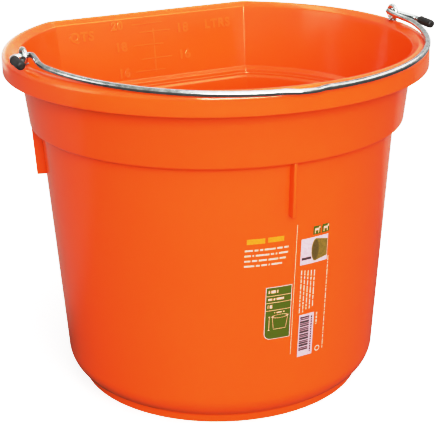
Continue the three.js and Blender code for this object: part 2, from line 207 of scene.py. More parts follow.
outside = rounded(
    [
        (0, foot_height - 0.0008, 0),
        (0.004, foot_height - 0.0008, 0.0004),
        (0.0045, foot_height, 0.0004),
        (foot_inner - 0.012, foot_height, 0.003),
        (foot_inner, foot_height - 0.0006, 0.001),
        (foot_inner + 0.0003, 0, 0.0008),
        (foot_radius, 0, 0.0012),
        (foot_radius, base_centre[1] - 0.0206, 0.0005),
    ]
    + [(r, z, 0) for r, z in arc(base_centre, base_corner, base_start + 4, 0, 12)]
    + [
        (wall_top, wall_top_height, 0.0012),
        (band_foot - 0.0002, wall_top_height + 0.0014, 0.0022),
        (band_top - 0.0003, height - rim_wall, 0.0025),
        (rim_radius - rim_wall, height - rim_wall, 0.0034),
        (rim_radius - rim_wall, skirt_foot, 0.0008),
        (rim_radius, skirt_foot, 0.001),
        (rim_radius, height, 0.006),
        (mouth + 0.0065, height, 0.003),
        (mouth + 0.0006, height - 0.0036, 0.0022),
        (mouth, height - 0.0068, 0),
    ],
    steps=6,
)
inside = rounded(
    [
        (mouth - 0.0004, height - 0.009, 0),
        (band_foot - wall + 0.0002, step_height + 0.0012, 0.0014),
        (band_foot - wall - 0.0044, step_height - 0.0012, 0.0014),
        (band_foot - wall - 0.0052, step_height - 0.0058, 0.0014),
        (wall_top - wall + 0.0002, step_height - 0.008, 0.0014),
        (wall_top - wall - 0.0005, step_height - 0.014, 0),
    ]
    + [(r, z, 0) for r, z in arc(base_centre, base_corner - wall, 0, -90, 12)]
    + [
        (0.062, foot_height + wall, 0.002),
        (0.06, foot_height + wall + 0.0005, 0.002),
        (0, foot_height + wall + 0.0005, 0),
    ],
    steps=5,
)

plan_steps = 384
round_share = 0.82  # of the steps that go to the round front, then come the corners and the flat
corner_share = 0.05


def flat_backed(turn, radius, corner):
    """The point of the D-shaped plan for a turn from the front, from -pi to pi."""
    inset = flat_inset * min(1, radius / foot_inner)
    corner = min(corner, inset * 0.9)
    flat = radius - inset
    centre_x = math.sqrt(max((radius - corner) ** 2 - (flat - corner) ** 2, 0))
    meet = math.pi / 2 + math.atan2(flat - corner, centre_x)
    share = abs(turn) / math.pi
    if share <= round_share:
        angle = meet * share / round_share
        x, y = radius * math.sin(angle), -radius * math.cos(angle)
    elif share <= round_share + corner_share:
        angle = meet + (math.pi - meet) * (share - round_share) / corner_share
        x, y = centre_x + corner * math.sin(angle), flat - corner - corner * math.cos(angle)
    else:
        x, y = centre_x * (1 - share) / (1 - round_share - corner_share), flat
    return math.copysign(x, turn) + axis_x, y + axis_y


def trace(name, outline):
    """A wire outline in the XZ plane, extruded from point to point."""
    bpy.ops.object.select_all(action="DESELECT")
    bpy.ops.mesh.primitive_plane_add(size=0.001)
    traced = bpy.context.object
    traced.name = name
    bpy.ops.object.mode_set(mode="EDIT")
    bpy.ops.mesh.merge(type="CENTER")
    bpy.ops.transform.translate(value=(outline[0][0], 0, outline[0][1]))
    for (r0, z0), (r1, z1) in zip(outline, outline[1:]):
        bpy.ops.mesh.extrude_region_move(TRANSFORM_OT_translate={"value": (r1 - r0, 0, z1 - z0)})
    bpy.ops.object.mode_set(mode="OBJECT")
    return traced


def spin_round(turned, steps):
    """Turns a wire outline into a closed round body about Z."""
    bpy.ops.object.mode_set(mode="EDIT")
    bpy.ops.mesh.select_all(action="SELECT")
    bpy.ops.mesh.spin(steps=steps, angle=2 * math.pi, center=(0, 0, 0), axis=(0, 0, 1))
    bpy.ops.mesh.select_all(action="SELECT")
    bpy.ops.mesh.remove_doubles(threshold=1e-6)
    bpy.ops.mesh.normals_make_consistent(inside=False)
    bpy.ops.object.mode_set(mode="OBJECT")


bucket = trace("bucket_shell_moulding", outside + inside)
lip_points = 8  # the last of the outside, which turn down into the mouth
inner_corner = 0.002  # where the round wall meets the flat back
outer_corner = 0.014
inner_face = bucket.vertex_groups.new(name="inner_face")
inner_face.add(range(len(outside) - lip_points, len(outside) + len(inside)), 1.0, "REPLACE")
spin_round(bucket, plan_steps)
for vertex in bucket.data.vertices:
    radius = math.hypot(vertex.co.x, vertex.co.y)
    corner = inner_corner if len(vertex.groups) else outer_corner
    turn = math.atan2(vertex.co.x, -vertex.co.y)
    vertex.co.x, vertex.co.y = flat_backed(turn, radius, corner)

# Dyed polyethylene: a waxy gloss with faint orange peel, slightly uneven colour, and a little
# light carried inside the wall.
orange = bpy.data.materials.new("orange_polyethylene")
orange.use_nodes = True
nodes, links = orange.node_tree.nodes, orange.node_tree.links
shader = nodes["Principled BSDF"]
shader.inputs["IOR"].default_value = 1.5
shader.inputs["Specular IOR Level"].default_value = 0.5
shader.inputs["Subsurface Weight"].default_value = 0.15
shader.inputs["Subsurface Radius"].default_value = (1.0, 0.12, 0.03)
shader.inputs["Subsurface Scale"].default_value = 0.006
place = nodes.new("ShaderNodeTexCoord")
mottle = nodes.new("ShaderNodeTexNoise")
mottle.inputs["Scale"].default_value = 9
mottle.inputs["Detail"].default_value = 3
links.new(place.outputs["Object"], mottle.inputs["Vector"])
tint = nodes.new("ShaderNodeValToRGB")
tint.color_ramp.elements[0].position = 0.35
tint.color_ramp.elements[0].color = (0.75, 0.108, 0.009, 1)
tint.color_ramp.elements[1].position = 0.7
tint.color_ramp.elements[1].color = (0.76, 0.113, 0.01, 1)
links.new(mottle.outputs["Fac"], tint.inputs["Fac"])
links.new(tint.outputs["Color"], shader.inputs["Base Color"])
smear = nodes.new("ShaderNodeTexNoise")
smear.inputs["Scale"].default_value = 26
smear.inputs["Detail"].default_value = 4
links.new(place.outputs["Object"], smear.inputs["Vector"])
gloss = nodes.new("ShaderNodeMapRange")
gloss.inputs["To Min"].default_value = 0.12
gloss.inputs["To Max"].default_value = 0.2
links.new(smear.outputs["Fac"], gloss.inputs["Value"])
links.new(gloss.outputs["Result"], shader.inputs["Roughness"])
peel = nodes.new("ShaderNodeTexNoise")
peel.inputs["Scale"].default_value = 320
peel.inputs["Detail"].default_value = 2
links.new(place.outputs["Object"], peel.inputs["Vector"])
peel_bump = nodes.new("ShaderNodeBump")
peel_bump.inputs["Strength"].default_value = 0.05
peel_bump.inputs["Distance"].default_value = 0.0004
links.new(peel.outputs["Fac"], peel_bump.inputs["Height"])
links.new(peel_bump.outputs["Normal"], shader.inputs["Normal"])

bpy.ops.object.shade_smooth_by_angle(angle=math.radians(40))
bucket.data.materials.append(orange)
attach(bucket, "bucket")
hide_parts("bucket_shell")

# ---- Stacking ribs ----
# Three thin fins moulded with the wall, under the band. They stop a nested bucket from jamming.
rib_length = 0.044
rib_thickness = 0.003
rib_foot = wall_top_height - rib_length


def wall_radius(z):
    """The outside of the main wall at a height above the base corner."""
    return wall_foot + (z - base_centre[1]) * (wall_top - wall_foot) / (wall_top_height - base_centre[1])


for rib_name, compass in (("front", -94), ("left", 163.5), ("right", 16.5)):
    corners = [
        (wall_radius(rib_foot) - wall / 2, rib_foot),
        (band_foot - 0.0035, rib_foot),
        (band_foot - 0.001, wall_top_height + 0.0018),
        (wall_top + 0.001, wall_top_height + 0.0006),
        (wall_top - wall / 2, step_height - 0.008),
    ]
    rib = trace(rib_name + "_stacking_rib", corners)
    bpy.ops.object.mode_set(mode="EDIT")
    bpy.ops.mesh.select_all(action="SELECT")
    bpy.ops.mesh.edge_face_add()
    bpy.ops.transform.translate(value=(0, -rib_thickness / 2, 0))
    bpy.ops.mesh.extrude_region_move(TRANSFORM_OT_translate={"value": (0, rib_thickness, 0)})
    bpy.ops.mesh.select_all(action="SELECT")
    bpy.ops.mesh.normals_make_consistent(inside=False)
    bpy.ops.object.mode_set(mode="OBJECT")
    rounding = rib.modifiers.new("rounding", "BEVEL")
    rounding.width = 0.0008
    rounding.segments = 3
    bpy.ops.object.modifier_apply(modifier="rounding")
    rib.rotation_euler.z = math.radians(compass)
    rib.location = (axis_x, axis_y, 0)
    bpy.ops.object.transform_apply(location=True, rotation=True, scale=True)
    bpy.ops.object.shade_smooth_by_angle(angle=math.radians(50))
    rib.data.materials.append(orange)
    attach(rib, "bucket")
    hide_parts("bucket_shell")

# ---- Volume scale ----
# Raised figures and lines moulded on the flat of the band inside: litres on the right of the
# upright line and quarts on its left.
scale_relief = 0.0005
flat_low_z = step_height + 0.0012
flat_high_z = height - 0.009
flat_low_y = axis_y + band_foot - wall + 0.0002 - flat_inset
flat_high_y = axis_y + mouth - 0.0004 - flat_inset
flat_lean = math.atan2(flat_high_y - flat_low_y, flat_high_z - flat_low_z)


def stand_on_flat(piece, x, z):
    """Stands a flat piece, made lying at the origin, up against the flat inside."""
    share = (z - flat_low_z) / (flat_high_z - flat_low_z)
    piece.rotation_euler = (math.radians(90) - flat_lean, 0, 0)
    piece.location = (axis_x + x, flat_low_y + share * (flat_high_y - flat_low_y), z)
    bpy.ops.object.transform_apply(location=True, rotation=True, scale=True)


raised = []
for words, x, z, size in (
    ("18", 0.0295, 0.2824, 0.0115),
    ("16", 0.0300, 0.2572, 0.0115),
    ("18", -0.0345, 0.2704, 0.0115),
    ("16", -0.0335, 0.2459, 0.0115),
    ("20", -0.0370, 0.2905, 0.0105),
    ("LTRS", 0.0670, 0.2830, 0.0115),
    ("QTS", -0.0725, 0.2840, 0.0115),
):
    bpy.ops.object.select_all(action="DESELECT")
    bpy.ops.object.text_add(location=(0, 0, 0))
    figure = bpy.context.object
    figure.data.body = words
    figure.data.size = size
    figure.data.align_x = "CENTER"
    figure.data.align_y = "CENTER"
    figure.data.space_character = 1.15
    figure.data.offset = 0.0005
    figure.data.extrude = scale_relief / 2
    figure.data.bevel_depth = 0.00015
    figure.data.bevel_resolution = 1
    bpy.ops.object.convert(target="MESH")
    figure = bpy.context.object
    stand_on_flat(figure, x, z)
    raised.append(figure)

for x_from, x_to, z_from, z_to in (
    (-0.0015, 0.0001, 0.2385, 0.2905),
    (-0.015, 0.017, 0.2817, 0.2831),
    (-0.015, 0.017, 0.2565, 0.2579),
    (-0.022, 0.009, 0.2697, 0.2711),
    (-0.022, 0.009, 0.2452, 0.2466),
    (-0.022, 0.009, 0.2898, 0.2908),
):
    bpy.ops.object.select_all(action="DESELECT")
    bpy.ops.mesh.primitive_plane_add(size=1)
    line = bpy.context.object
    bpy.ops.object.mode_set(mode="EDIT")
    bpy.ops.transform.resize(value=(x_to - x_from, z_to - z_from, 1))
    bpy.ops.transform.translate(value=(0, 0, -scale_relief / 2))
    bpy.ops.mesh.extrude_region_move(TRANSFORM_OT_translate={"value": (0, 0, scale_relief)})
    bpy.ops.transform.resize(value=(0.99, 0.6, 1))
    bpy.ops.mesh.select_all(action="SELECT")
    bpy.ops.mesh.normals_make_consistent(inside=False)
    bpy.ops.object.mode_set(mode="OBJECT")
    stand_on_flat(line, (x_from + x_to) / 2, (z_from + z_to) / 2)
    raised.append(line)

for piece in raised:
    piece.select_set(True)
bpy.context.view_layer.objects.active = raised[0]
bpy.ops.object.join()
volume_scale = bpy.context.object
volume_scale.name = "volume_scale"
bpy.ops.object.shade_smooth_by_angle(angle=math.radians(30))

# The raised figures get a lighter copy of the same orange: a painted highlight for the light their
# relief catches.
raised_orange_painted_highlight = orange.copy()
raised_orange_painted_highlight.name = "raised_orange_painted_highlight"
raised_highlight_tint = next(n for n in raised_orange_painted_highlight.node_tree.nodes if n.type == "VALTORGB")
raised_highlight_tint.color_ramp.elements[0].color = (0.79, 0.135, 0.018, 1)
raised_highlight_tint.color_ramp.elements[1].color = (0.8, 0.145, 0.022, 1)
volume_scale.data.materials.clear()
volume_scale.data.materials.append(raised_orange_painted_highlight)
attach(volume_scale, "bucket")
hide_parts("bucket_shell")

# ---- Label print ----
# Thin inks screen printed straight onto the front of the wall, one object for each ink and pass.
# All wording and marks are replaced by plain strokes and shapes.
ink_thickness = 0.00008
label_lean = 0.015  # the print follows the taper, so its uprights lean with it
label_middle = 0.12


def start_print(name):
    """An empty print, left in edit mode, to be drawn flat in the XZ plane."""
    bpy.ops.object.select_all(action="DESELECT")
    bpy.ops.mesh.primitive_plane_add(size=0.001)
    bpy.context.object.name = name
    bpy.ops.object.mode_set(mode="EDIT")
    bpy.ops.mesh.delete(type="VERT")


def print_block(x, z, block_width, block_height):
    """Draws a rectangle, given by its middle and size in millimetres."""
    upright = (math.radians(90), 0, 0)
    bpy.ops.mesh.primitive_plane_add(size=0.001, location=(x / 1000, 0, z / 1000), rotation=upright)
    bpy.ops.transform.resize(value=(block_width, 1, block_height))


def print_ellipse(x, z, half_width, half_height):
    """Draws a filled ellipse, given in millimetres."""
    bpy.ops.mesh.primitive_circle_add(
        vertices=32,
        radius=0.001,
        fill_type="NGON",
        location=(x / 1000, 0, z / 1000),
        rotation=(math.radians(90), 0, 0),
    )
    bpy.ops.transform.resize(value=(half_width, 1, half_height))


def finish_print(ink, layer):
    """Leans the flat print with the taper, presses it round the wall and gives the ink its thickness."""
    printed = bpy.context.object
    for cut in range(-20, 14):
        bpy.ops.mesh.select_all(action="SELECT")
        bpy.ops.mesh.bisect(plane_co=(cut * 0.0025, 0, 0.12), plane_no=(1, 0, 0))
    bpy.ops.object.mode_set(mode="OBJECT")
    for vertex in printed.data.vertices:
        reach = wall_radius(vertex.co.z) + layer * ink_thickness
        across = vertex.co.x + label_lean * (vertex.co.z - label_middle)
        vertex.co = (axis_x + across, axis_y - math.sqrt(reach**2 - across**2), vertex.co.z)
    film = printed.modifiers.new("film", "SOLIDIFY")
    film.thickness = ink_thickness
    film.offset = 1
    bpy.ops.object.modifier_apply(modifier="film")
    printed.data.materials.append(ink)
    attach(printed, "bucket")
    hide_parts("front_label")


def make_ink(name, colour, thin_colour):
    """A screen ink that covers a little less well in small spots."""
    ink = bpy.data.materials.new(name)
    ink.use_nodes = True
    nodes, links = ink.node_tree.nodes, ink.node_tree.links
    shader = nodes["Principled BSDF"]
    shader.inputs["Roughness"].default_value = 0.4
    place = nodes.new("ShaderNodeTexCoord")
    spots = nodes.new("ShaderNodeTexNoise")
    spots.inputs["Scale"].default_value = 700
    spots.inputs["Detail"].default_value = 3
    links.new(place.outputs["Object"], spots.inputs["Vector"])
    cover = nodes.new("ShaderNodeValToRGB")
    cover.color_ramp.elements[0].position = 0.38
    cover.color_ramp.elements[0].color = (*thin_colour, 1)
    cover.color_ramp.elements[1].position = 0.6
    cover.color_ramp.elements[1].color = (*colour, 1)
    links.new(spots.outputs["Fac"], cover.inputs["Fac"])
    links.new(cover.outputs["Color"], shader.inputs["Base Color"])
    return ink


def word_row(x, x_end, z, stroke_height, lengths):
    """Draws a row of short strokes that stands for a line of wording."""
    for length in lengths:
        length = min(length, x_end - x)
        if length > 0.5:
            print_block(x + length / 2, z, length, stroke_height)
        x += length + 1.1


def word_column(x, z, z_end, stroke_width, shortest, spread):
    """Draws an upright row of short strokes, downwards from z."""
    word = 0
    while z > z_end:
        length = min(shortest + spread * ((word * 7 + 3) % 5) / 4, z - z_end)
        if length > 0.4:
            print_block(x, z - length / 2, stroke_width, length)
        z -= length + 0.8
        word += 1


white_ink = make_ink("white_ink", (0.62, 0.36, 0.33), (0.62, 0.28, 0.22))
yellow_ink = make_ink("yellow_ink", (0.74, 0.22, 0.012), (0.74, 0.18, 0.01))
green_ink = make_ink("green_ink", (0.085, 0.12, 0.006), (0.1, 0.11, 0.006))
olive_ink = make_ink("olive_ink", (0.2, 0.15, 0.03), (0.16, 0.12, 0.022))
shade_ink = make_ink("shade_ink", (0.11, 0.075, 0.018), (0.14, 0.09, 0.022))
ground_ink = make_ink("ground_ink", (0.44, 0.33, 0.36), (0.4, 0.28, 0.31))
dark_ink = make_ink("dark_ink", (0.05, 0.03, 0.035), (0.1, 0.05, 0.05))

# White grounds: the backing of the small picture, of the bar pattern and of the green panel,
# which leaves a white outline round the green.
start_print("label_white_grounds")
print_block(12.7, 155.5, 26.2, 23.0)
print_block(9.0, 79.5, 14.5, 39.0)
print_block(-17.6, 105.5, 22.6, 47.6)
bpy.ops.mesh.select_all(action="DESELECT")
bpy.ops.object.mode_set(mode="OBJECT")
for vertex in bpy.context.object.data.vertices:
    vertex.select = vertex.co.x < -0.02 and vertex.co.z < 0.09
bpy.ops.object.mode_set(mode="EDIT")
bpy.ops.mesh.bevel(affect="VERTICES", offset=0.0055, segments=8)
finish_print(ground_ink, 1)

# The title's place takes a plain yellow bar in two lengths.
start_print("label_yellow_title_bar")
print_block(-38.5, 170.8, 14.5, 4.6)
print_block(-22.4, 171.0, 13.5, 4.6)
finish_print(yellow_ink, 1)

# White strokes: the divider, four lines under the title, small upright columns and a long one.
start_print("label_white_strokes")
print_block(-4.6, 122.5, 0.6, 116)
word_row(-47.0, -11.5, 163.2, 1.7, (6.4, 3.2, 2.6, 9.0, 4.8, 7.0))
word_row(-47.0, -11.0, 158.7, 1.7, (5.0, 1.4, 11.0, 2.8, 1.6, 8.0))
word_row(-47.0, -13.5, 154.2, 1.7, (4.8, 4.2, 6.6, 8.2, 6.0))
word_row(-47.0, -12.0, 149.8, 1.7, (8.0, 3.2, 4.6, 1.4, 9.0))
for column, foot in enumerate((101, 101, 103, 103, 104)):
    word_column(1.6 + 3.1 * column, 139.5 - 0.5 * column, foot, 1.2, 2.0 + 0.3 * column, 3.0)
word_column(27.0, 147, 62, 1.0, 1.4, 4.2)
word_column(18.9, 98, 87, 1.5, 2.4, 0.5)
finish_print(white_ink, 1)

# A small plain ring near the foot of the print.
start_print("label_white_ring")
bpy.ops.mesh.primitive_circle_add(
    vertices=32, radius=0.0027, location=(0.0217, 0, 0.0635), rotation=(math.radians(90), 0, 0)
)
bpy.ops.mesh.extrude_region_move()
bpy.ops.transform.resize(value=(0.62, 1, 0.62))
bpy.ops.mesh.select_all(action="SELECT")
finish_print(white_ink, 1)

# Green: two small squares and the tall panel, whose lower left corner is round.
start_print("label_green_panels")
print_block(14.0, 172.6, 7.4, 7.6)
print_block(22.6, 172.6, 7.4, 7.6)
print_block(-17.6, 105.5, 21.2, 46.2)
bpy.ops.mesh.select_all(action="DESELECT")
bpy.ops.object.mode_set(mode="OBJECT")
for vertex in bpy.context.object.data.vertices:
    vertex.select = vertex.co.x < -0.02 and vertex.co.z < 0.09
bpy.ops.object.mode_set(mode="EDIT")
bpy.ops.mesh.bevel(affect="VERTICES", offset=0.005, segments=8)
finish_print(green_ink, 2)

# White over green: an animal shape in each square, and in the panel its dividing lines, short
# strokes and a bucket in outline with a height and a width line.
start_print("label_white_over_green")
for square in (14.0, 22.6):
    print_block(square, 173.2, 4.2, 1.9)
    print_block(square - 1.7, 171.2, 0.8, 2.6)
    print_block(square + 1.6, 171.2, 0.8, 2.6)
    print_block(square + 2.5, 174.5, 1.2, 1.9)
for z in (121.2, 115.1, 108.2):
    print_block(-17.6, z, 21.4, 0.42)
word_row(-26.6, -16.0, 125.0, 2.6, (1.2, 3.8, 1.0))
word_row(-26.6, -9.0, 118.2, 1.9, (3.4, 1.4, 6.4))
word_row(-26.8, -22.0, 111.8, 3.0, (0.6, 2.2))
word_row(-21.0, -11.0, 105.9, 1.0, (0.8, 4.6, 1.4))
for side in (-1, 1):
    for step in range(8):
        print_block(-15.8 + side * (6.6 - 0.16 * step), 101.4 - 1.3 * step, 0.36, 1.4)
print_block(-15.8, 90.9, 10.8, 0.36)
for step in range(20):
    turn = math.radians(18 * step)
    print_block(-15.8 + 6.6 * math.cos(turn), 102.3 + 1.5 * math.sin(turn), 1.7, 0.36)
print_block(-25.0, 96.5, 0.45, 12.5)
print_block(-25.0, 102.6, 1.4, 0.6)
print_block(-25.0, 90.4, 1.4, 0.6)
finish_print(white_ink, 3)

# The small picture: an olive bucket on its side.
picture_middle = 0.1557
mouth_half_height = 0.0096
start_print("label_olive_bucket")
print_block(19.4, 155.6, 11.6, 14.6)
bpy.ops.object.mode_set(mode="OBJECT")
for vertex in bpy.context.object.data.vertices:
    if vertex.co.x < 0.015:
        vertex.co.z = picture_middle + math.copysign(mouth_half_height, vertex.co.z - picture_middle)
bpy.ops.object.mode_set(mode="EDIT")
print_ellipse(13.8, 155.7, 4.0, 9.8)
finish_print(olive_ink, 2)

# The shaded mouth of that bucket.
start_print("label_olive_shade")
print_ellipse(13.6, 155.7, 3.0, 8.6)
finish_print(shade_ink, 3)

# The rail, and a pattern of plain bars with a column of short strokes beside it.
bar_heights = (1.2, 0.8, 1.7, 0.8, 1.2, 0.8, 0.8, 1.7, 1.2, 0.8, 1.7, 0.8, 1.2, 1.7, 0.8, 1.2)
start_print("label_dark_shapes")
print_block(5.4, 149.4, 8.6, 1.9)
z = 96.8
for bar, bar_height in enumerate(bar_heights):
    print_block(7.2, z - bar_height / 2, 8.6, bar_height)
    z -= bar_height + (0.7, 1.2, 0.6)[bar % 3]
word_column(13.8, 96, 63, 1.1, 1.2, 0.6)
finish_print(dark_ink, 3)

# ---- Eye bolts ----
# Zinc plated steel eyes: a ring on a collar, with a threaded shank down through the rim.
pivot_forward = 0.01  # from the bucket's middle forward to the line through both eyes
eye_circle = 0.17385  # from the bucket's middle out to an eye, halfway across the channel of the rim
pivot_y = axis_y - pivot_forward
eye_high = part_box("left_eye_bolt")[1]
eye_bar = 0.002
eye_middle_radius = 0.0055
pivot_z = eye_high.z - eye_middle_radius - eye_bar
eye_out = math.sqrt(eye_circle**2 - pivot_forward**2)
collar_radius = 0.0044
shank_radius = 0.0025
shank_low = height - 0.017

zinc = bpy.data.materials.new("bright_zinc")
zinc.use_nodes = True
nodes, links = zinc.node_tree.nodes, zinc.node_tree.links
shader = nodes["Principled BSDF"]
shader.inputs["Metallic"].default_value = 1.0
place = nodes.new("ShaderNodeTexCoord")
plating = nodes.new("ShaderNodeTexNoise")
plating.inputs["Scale"].default_value = 180
plating.inputs["Detail"].default_value = 4
links.new(place.outputs["Object"], plating.inputs["Vector"])
plating_tint = nodes.new("ShaderNodeValToRGB")
plating_tint.color_ramp.elements[0].position = 0.3
plating_tint.color_ramp.elements[0].color = (0.4, 0.42, 0.4, 1)
plating_tint.color_ramp.elements[1].position = 0.7
plating_tint.color_ramp.elements[1].color = (0.58, 0.6, 0.59, 1)
links.new(plating.outputs["Fac"], plating_tint.inputs["Fac"])
links.new(plating_tint.outputs["Color"], shader.inputs["Base Color"])
plating_gloss = nodes.new("ShaderNodeMapRange")
plating_gloss.inputs["To Min"].default_value = 0.16
plating_gloss.inputs["To Max"].default_value = 0.3
links.new(plating.outputs["Fac"], plating_gloss.inputs["Value"])
links.new(plating_gloss.outputs["Result"], shader.inputs["Roughness"])
plating_bump = nodes.new("ShaderNodeBump")
plating_bump.inputs["Strength"].default_value = 0.12
plating_bump.inputs["Distance"].default_value = 0.0002
links.new(plating.outputs["Fac"], plating_bump.inputs["Height"])
links.new(plating_bump.outputs["Normal"], shader.inputs["Normal"])

for side, word in ((-1, "left"), (1, "right")):
    thread = []
    for turn in range(14):
        z = shank_low + 0.0006 + 0.0007 * turn
        thread += [(shank_radius - 0.0003, z), (shank_radius, z + 0.00035)]
    stem = trace(
        word + "_eye_bolt_steel",
        [(0, shank_low), (shank_radius - 0.0006, shank_low)]
        + thread
        + [
            (shank_radius, height - 0.004),
            (shank_radius, height + 0.0003),
            (collar_radius - 0.0003, height + 0.0003),
            (collar_radius, height + 0.0006),
            (collar_radius, height + 0.0012),
            (collar_radius - 0.0006, height + 0.0016),
            (0.0030, height + 0.0018),
            (0.0024, height + 0.0024),
            (0.0021, height + 0.0034),
            (0, height + 0.0034),
        ],
    )
    spin_round(stem, 40)
    stem.location = (axis_x + side * eye_out, pivot_y, 0)
    bpy.ops.object.transform_apply(location=True, rotation=False, scale=False)

    bpy.ops.object.select_all(action="DESELECT")
    bpy.ops.mesh.primitive_torus_add(
        major_radius=eye_middle_radius,
        minor_radius=eye_bar,
        major_segments=56,
        minor_segments=24,
        location=(axis_x + side * eye_out, pivot_y, pivot_z),
        rotation=(0, math.radians(90), 0),
    )
    ring = bpy.context.object
    bpy.ops.object.transform_apply(location=True, rotation=True, scale=True)

    bpy.ops.object.select_all(action="DESELECT")
    stem.select_set(True)
    bpy.context.view_layer.objects.active = stem
    weld = stem.modifiers.new("weld", "BOOLEAN")
    weld.operation = "UNION"
    weld.solver = "EXACT"
    weld.object = ring
    bpy.ops.object.modifier_apply(modifier="weld")
    bpy.data.objects.remove(ring)
    bpy.ops.object.shade_smooth_by_angle(angle=math.radians(35))
    stem.data.materials.clear()
    stem.data.materials.append(zinc)
    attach(stem, "bucket")
    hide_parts(word + "_eye_bolt")

# ---- Eye pads ----
# Round bosses of the moulding under the rim, one round each shank, for the washers to bear on.
pad_radius = 0.005
pad_low = height - 0.0063
pad_high = height - 0.0024
bolt_hole = shank_radius + 0.0003  # in the pads and the washers
for side, word in ((-1, "left"), (1, "right")):
    pad = trace(
        word + "_eye_pad",
        rounded(
            [
                (bolt_hole, pad_low, 0),
                (pad_radius, pad_low, 0.0006),
                (pad_radius, pad_high, 0.0003),
                (bolt_hole, pad_high, 0),
                (bolt_hole, pad_low, 0),
            ],
            steps=3,
        ),
    )
    spin_round(pad, 40)
    pad.location = (axis_x + side * eye_out, pivot_y, 0)
    bpy.ops.object.transform_apply(location=True, rotation=False, scale=False)
    bpy.ops.object.shade_smooth_by_angle(angle=math.radians(35))
    pad.data.materials.append(orange)
    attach(pad, "bucket")
    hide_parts("bucket_shell")

# ---- Washers and nuts ----
# Inside the channel of the rim, each eye bolt is held by a washer and a chamfered hexagon nut.
dull_zinc = zinc.copy()
dull_zinc.name = "dull_zinc"
for node in dull_zinc.node_tree.nodes:
    if node.type == "MAP_RANGE":
        node.inputs["To Min"].default_value = 0.32
        node.inputs["To Max"].default_value = 0.5

for side, word in ((-1, "left"), (1, "right")):
    washer_low, washer_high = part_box(word + "_washer")
    washer_radius = (washer_high.x - washer_low.x) / 2
    washer = trace(
        word + "_washer_steel",
        rounded(
            [
                (bolt_hole, washer_low.z, 0),
                (washer_radius, washer_low.z, 0.00015),
                (washer_radius, washer_high.z, 0.0003),
                (bolt_hole, washer_high.z, 0.00015),
                (bolt_hole, washer_low.z, 0),
            ],
            steps=3,
        ),
    )
    spin_round(washer, 40)
    washer.location = (axis_x + side * eye_out, pivot_y, 0)
    bpy.ops.object.transform_apply(location=True, rotation=False, scale=False)
    bpy.ops.object.shade_smooth_by_angle(angle=math.radians(35))
    washer.data.materials.append(dull_zinc)
    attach(washer, "bucket")
    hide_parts(word + "_washer")

    nut_low, nut_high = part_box(word + "_nut")
    nut_height = nut_high.z - nut_low.z
    nut_flats = nut_high.x - nut_low.x
    nut_corner = nut_flats / 2 / math.cos(math.radians(30))
    bpy.ops.object.select_all(action="DESELECT")
    bpy.ops.mesh.primitive_cylinder_add(
        vertices=6, radius=nut_corner, depth=nut_height, location=(0, 0, nut_low.z + nut_height / 2)
    )
    nut = bpy.context.object
    nut.name = word + "_nut_steel"
    bpy.ops.object.transform_apply(location=True, rotation=True, scale=True)
    chamfer = trace(
        "chamfer_tool",
        [
            (0, nut_low.z - 0.0001),
            (nut_flats / 2, nut_low.z - 0.0001),
            (nut_corner + 0.0002, nut_low.z + 0.0005),
            (nut_corner + 0.0002, nut_high.z - 0.0005),
            (nut_flats / 2, nut_high.z + 0.0001),
            (0, nut_high.z + 0.0001),
        ],
    )
    spin_round(chamfer, 48)
    bore = trace(
        "bore_tool",
        [
            (0, nut_low.z - 0.001),
            (shank_radius + 0.0013, nut_low.z - 0.001),
            (shank_radius + 0.0002, nut_low.z + 0.0004),
            (shank_radius + 0.0002, nut_high.z - 0.0004),
            (shank_radius + 0.0013, nut_high.z + 0.001),
            (0, nut_high.z + 0.001),
        ],
    )
    spin_round(bore, 40)
    bpy.ops.object.select_all(action="DESELECT")
    nut.select_set(True)
    bpy.context.view_layer.objects.active = nut
    for tool, operation in ((chamfer, "INTERSECT"), (bore, "DIFFERENCE")):
        cut = nut.modifiers.new("cut", "BOOLEAN")
        cut.operation = operation
        cut.solver = "EXACT"
        cut.object = tool
        bpy.ops.object.modifier_apply(modifier="cut")
        bpy.data.objects.remove(tool)
    nut.location = (axis_x + side * eye_out, pivot_y, 0)
    bpy.ops.object.transform_apply(location=True, rotation=False, scale=False)
    bpy.ops.object.shade_smooth_by_angle(angle=math.radians(30))
    nut.data.materials.clear()
    nut.data.materials.append(dull_zinc)
    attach(nut, "bucket")
    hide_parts(word + "_nut")

# ---- Bail ----
# One bent length of 5 mm zinc plated wire: a pin through each eye, a leg, the long round that
# rests on the rim, and near the middle of that an outward kink, slightly thinned, for a hook.
bail_slope = math.radians(2.99)
front_overhang = 0.0021  # the middle of the wire, past the edge of the rim
bail_reach = rim_radius - pivot_forward + front_overhang
wire_radius = 0.0025
neck_inset = 0.0063
neck_length = 0.042
wire_bend = 0.0045
notch_depth = 0.003
notch_half_width = 0.012
notch_turn = math.radians(5)  # how far to the left of the middle the kink stands
tip_length = 0.023
left_tip = (0.0099, 0.0006)  # out from the eye, and down
right_tip = (0.0255, 0.0082)


def bail_point(across, forward, above):
    """A point given in the bail's plane, as it lies on the rim."""
    return Vector(
        (
            axis_x + across,
            pivot_y - forward * math.cos(bail_slope) - above * math.sin(bail_slope),
            pivot_z - forward * math.sin(bail_slope) + above * math.cos(bail_slope),
        )
    )


def blend(points, share):
    """A point on the Bezier curve of the given control points."""
    while len(points) > 1:
        points = [a.lerp(b, share) for a, b in zip(points, points[1:])]
    return points[0]


